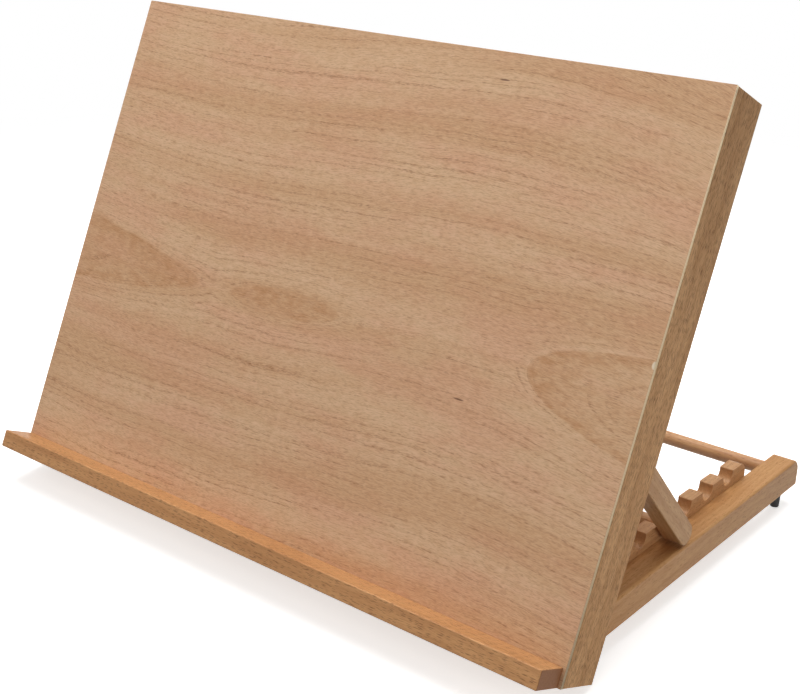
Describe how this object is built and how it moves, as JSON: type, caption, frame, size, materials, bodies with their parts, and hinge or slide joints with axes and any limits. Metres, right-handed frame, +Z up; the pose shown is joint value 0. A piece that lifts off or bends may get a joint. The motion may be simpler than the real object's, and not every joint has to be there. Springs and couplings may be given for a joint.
{
  "type": "table easel",
  "caption": "Wooden table easel: a tilting drawing board with a ledge, hinged to a low base frame and held by a prop bar in notched strips.",
  "frame": {"origin": "middle of the footprint, on the table under the feet", "axes": "X along the width of the board, Y from the ledge to the rear of the base, Z up"},
  "size_m": [0.6, 0.4618, 0.4264],
  "materials": {
    "face_veneer": "clear satin varnish over beech veneer",
    "ledge_beech": "clear satin varnish over beech",
    "frame_beech": "clear satin varnish over beech",
    "base_beech": "clear satin varnish over beech",
    "ratchet_beech": "clear satin varnish over beech",
    "leg_beech": "clear satin varnish over beech",
    "dowel_beech": "clear satin varnish over beech",
    "brass": "satin brass plate",
    "steel": "zinc plated steel",
    "rubber": "matt black rubber"
  },
  "bodies": {
    "base": {"base_side_rail_left": "base_beech", "base_side_rail_right": "base_beech", "base_front_rail": "base_beech", "base_rear_dowel": "dowel_beech", "base_frame_dowels": "dowel_beech", "ratchet_strip_left": "ratchet_beech", "ratchet_strip_right": "ratchet_beech", "ratchet_screws_left": "steel", "ratchet_screws_right": "steel", "hinge_left_base_leaf": "brass", "hinge_right_base_leaf": "brass", "hinge_left_pin": "brass", "hinge_right_pin": "brass", "hinge_screws_base": "steel", "foot_front_left": "rubber", "foot_front_right": "rubber", "foot_rear_left": "rubber", "foot_rear_right": "rubber", "foot_screws": "steel"},
    "board": {"face_panel": "face_veneer", "board_side_rail_left": "frame_beech", "board_side_rail_right": "frame_beech", "board_top_rail": "frame_beech", "board_bottom_rail": "frame_beech", "board_frame_dowels": "dowel_beech", "ledge_strip": "ledge_beech", "ledge_dowels": "dowel_beech", "hinge_left_board_leaf": "brass", "hinge_right_board_leaf": "brass", "hinge_screws_board": "steel", "pivot_screw_left": "steel", "pivot_screw_right": "steel", "pivot_washer_left": "steel", "pivot_washer_right": "steel", "pivot_spacer_left": "brass", "pivot_spacer_right": "brass"},
    "prop": {"prop_leg_left": "leg_beech", "prop_leg_right": "leg_beech", "prop_bar": "dowel_beech"}
  },
  "joints": [
    {"name": "board_tilt", "type": "hinge", "parent": "base", "child": "board", "pos_m": [0, -0.14664, 0.0176], "axis": [1, 0, 0], "range_deg": [0, 23.6]},
    {"name": "prop_swing", "type": "hinge", "parent": "board", "child": "prop", "pos_m": [0, -0.11658, 0.18482], "axis": [1, 0, 0], "range_deg": [0, 112.8]}
  ],
  "couplings": [
    {"joint": "prop_swing", "follows": "board_tilt", "ratio": 4.7796}
  ]
}
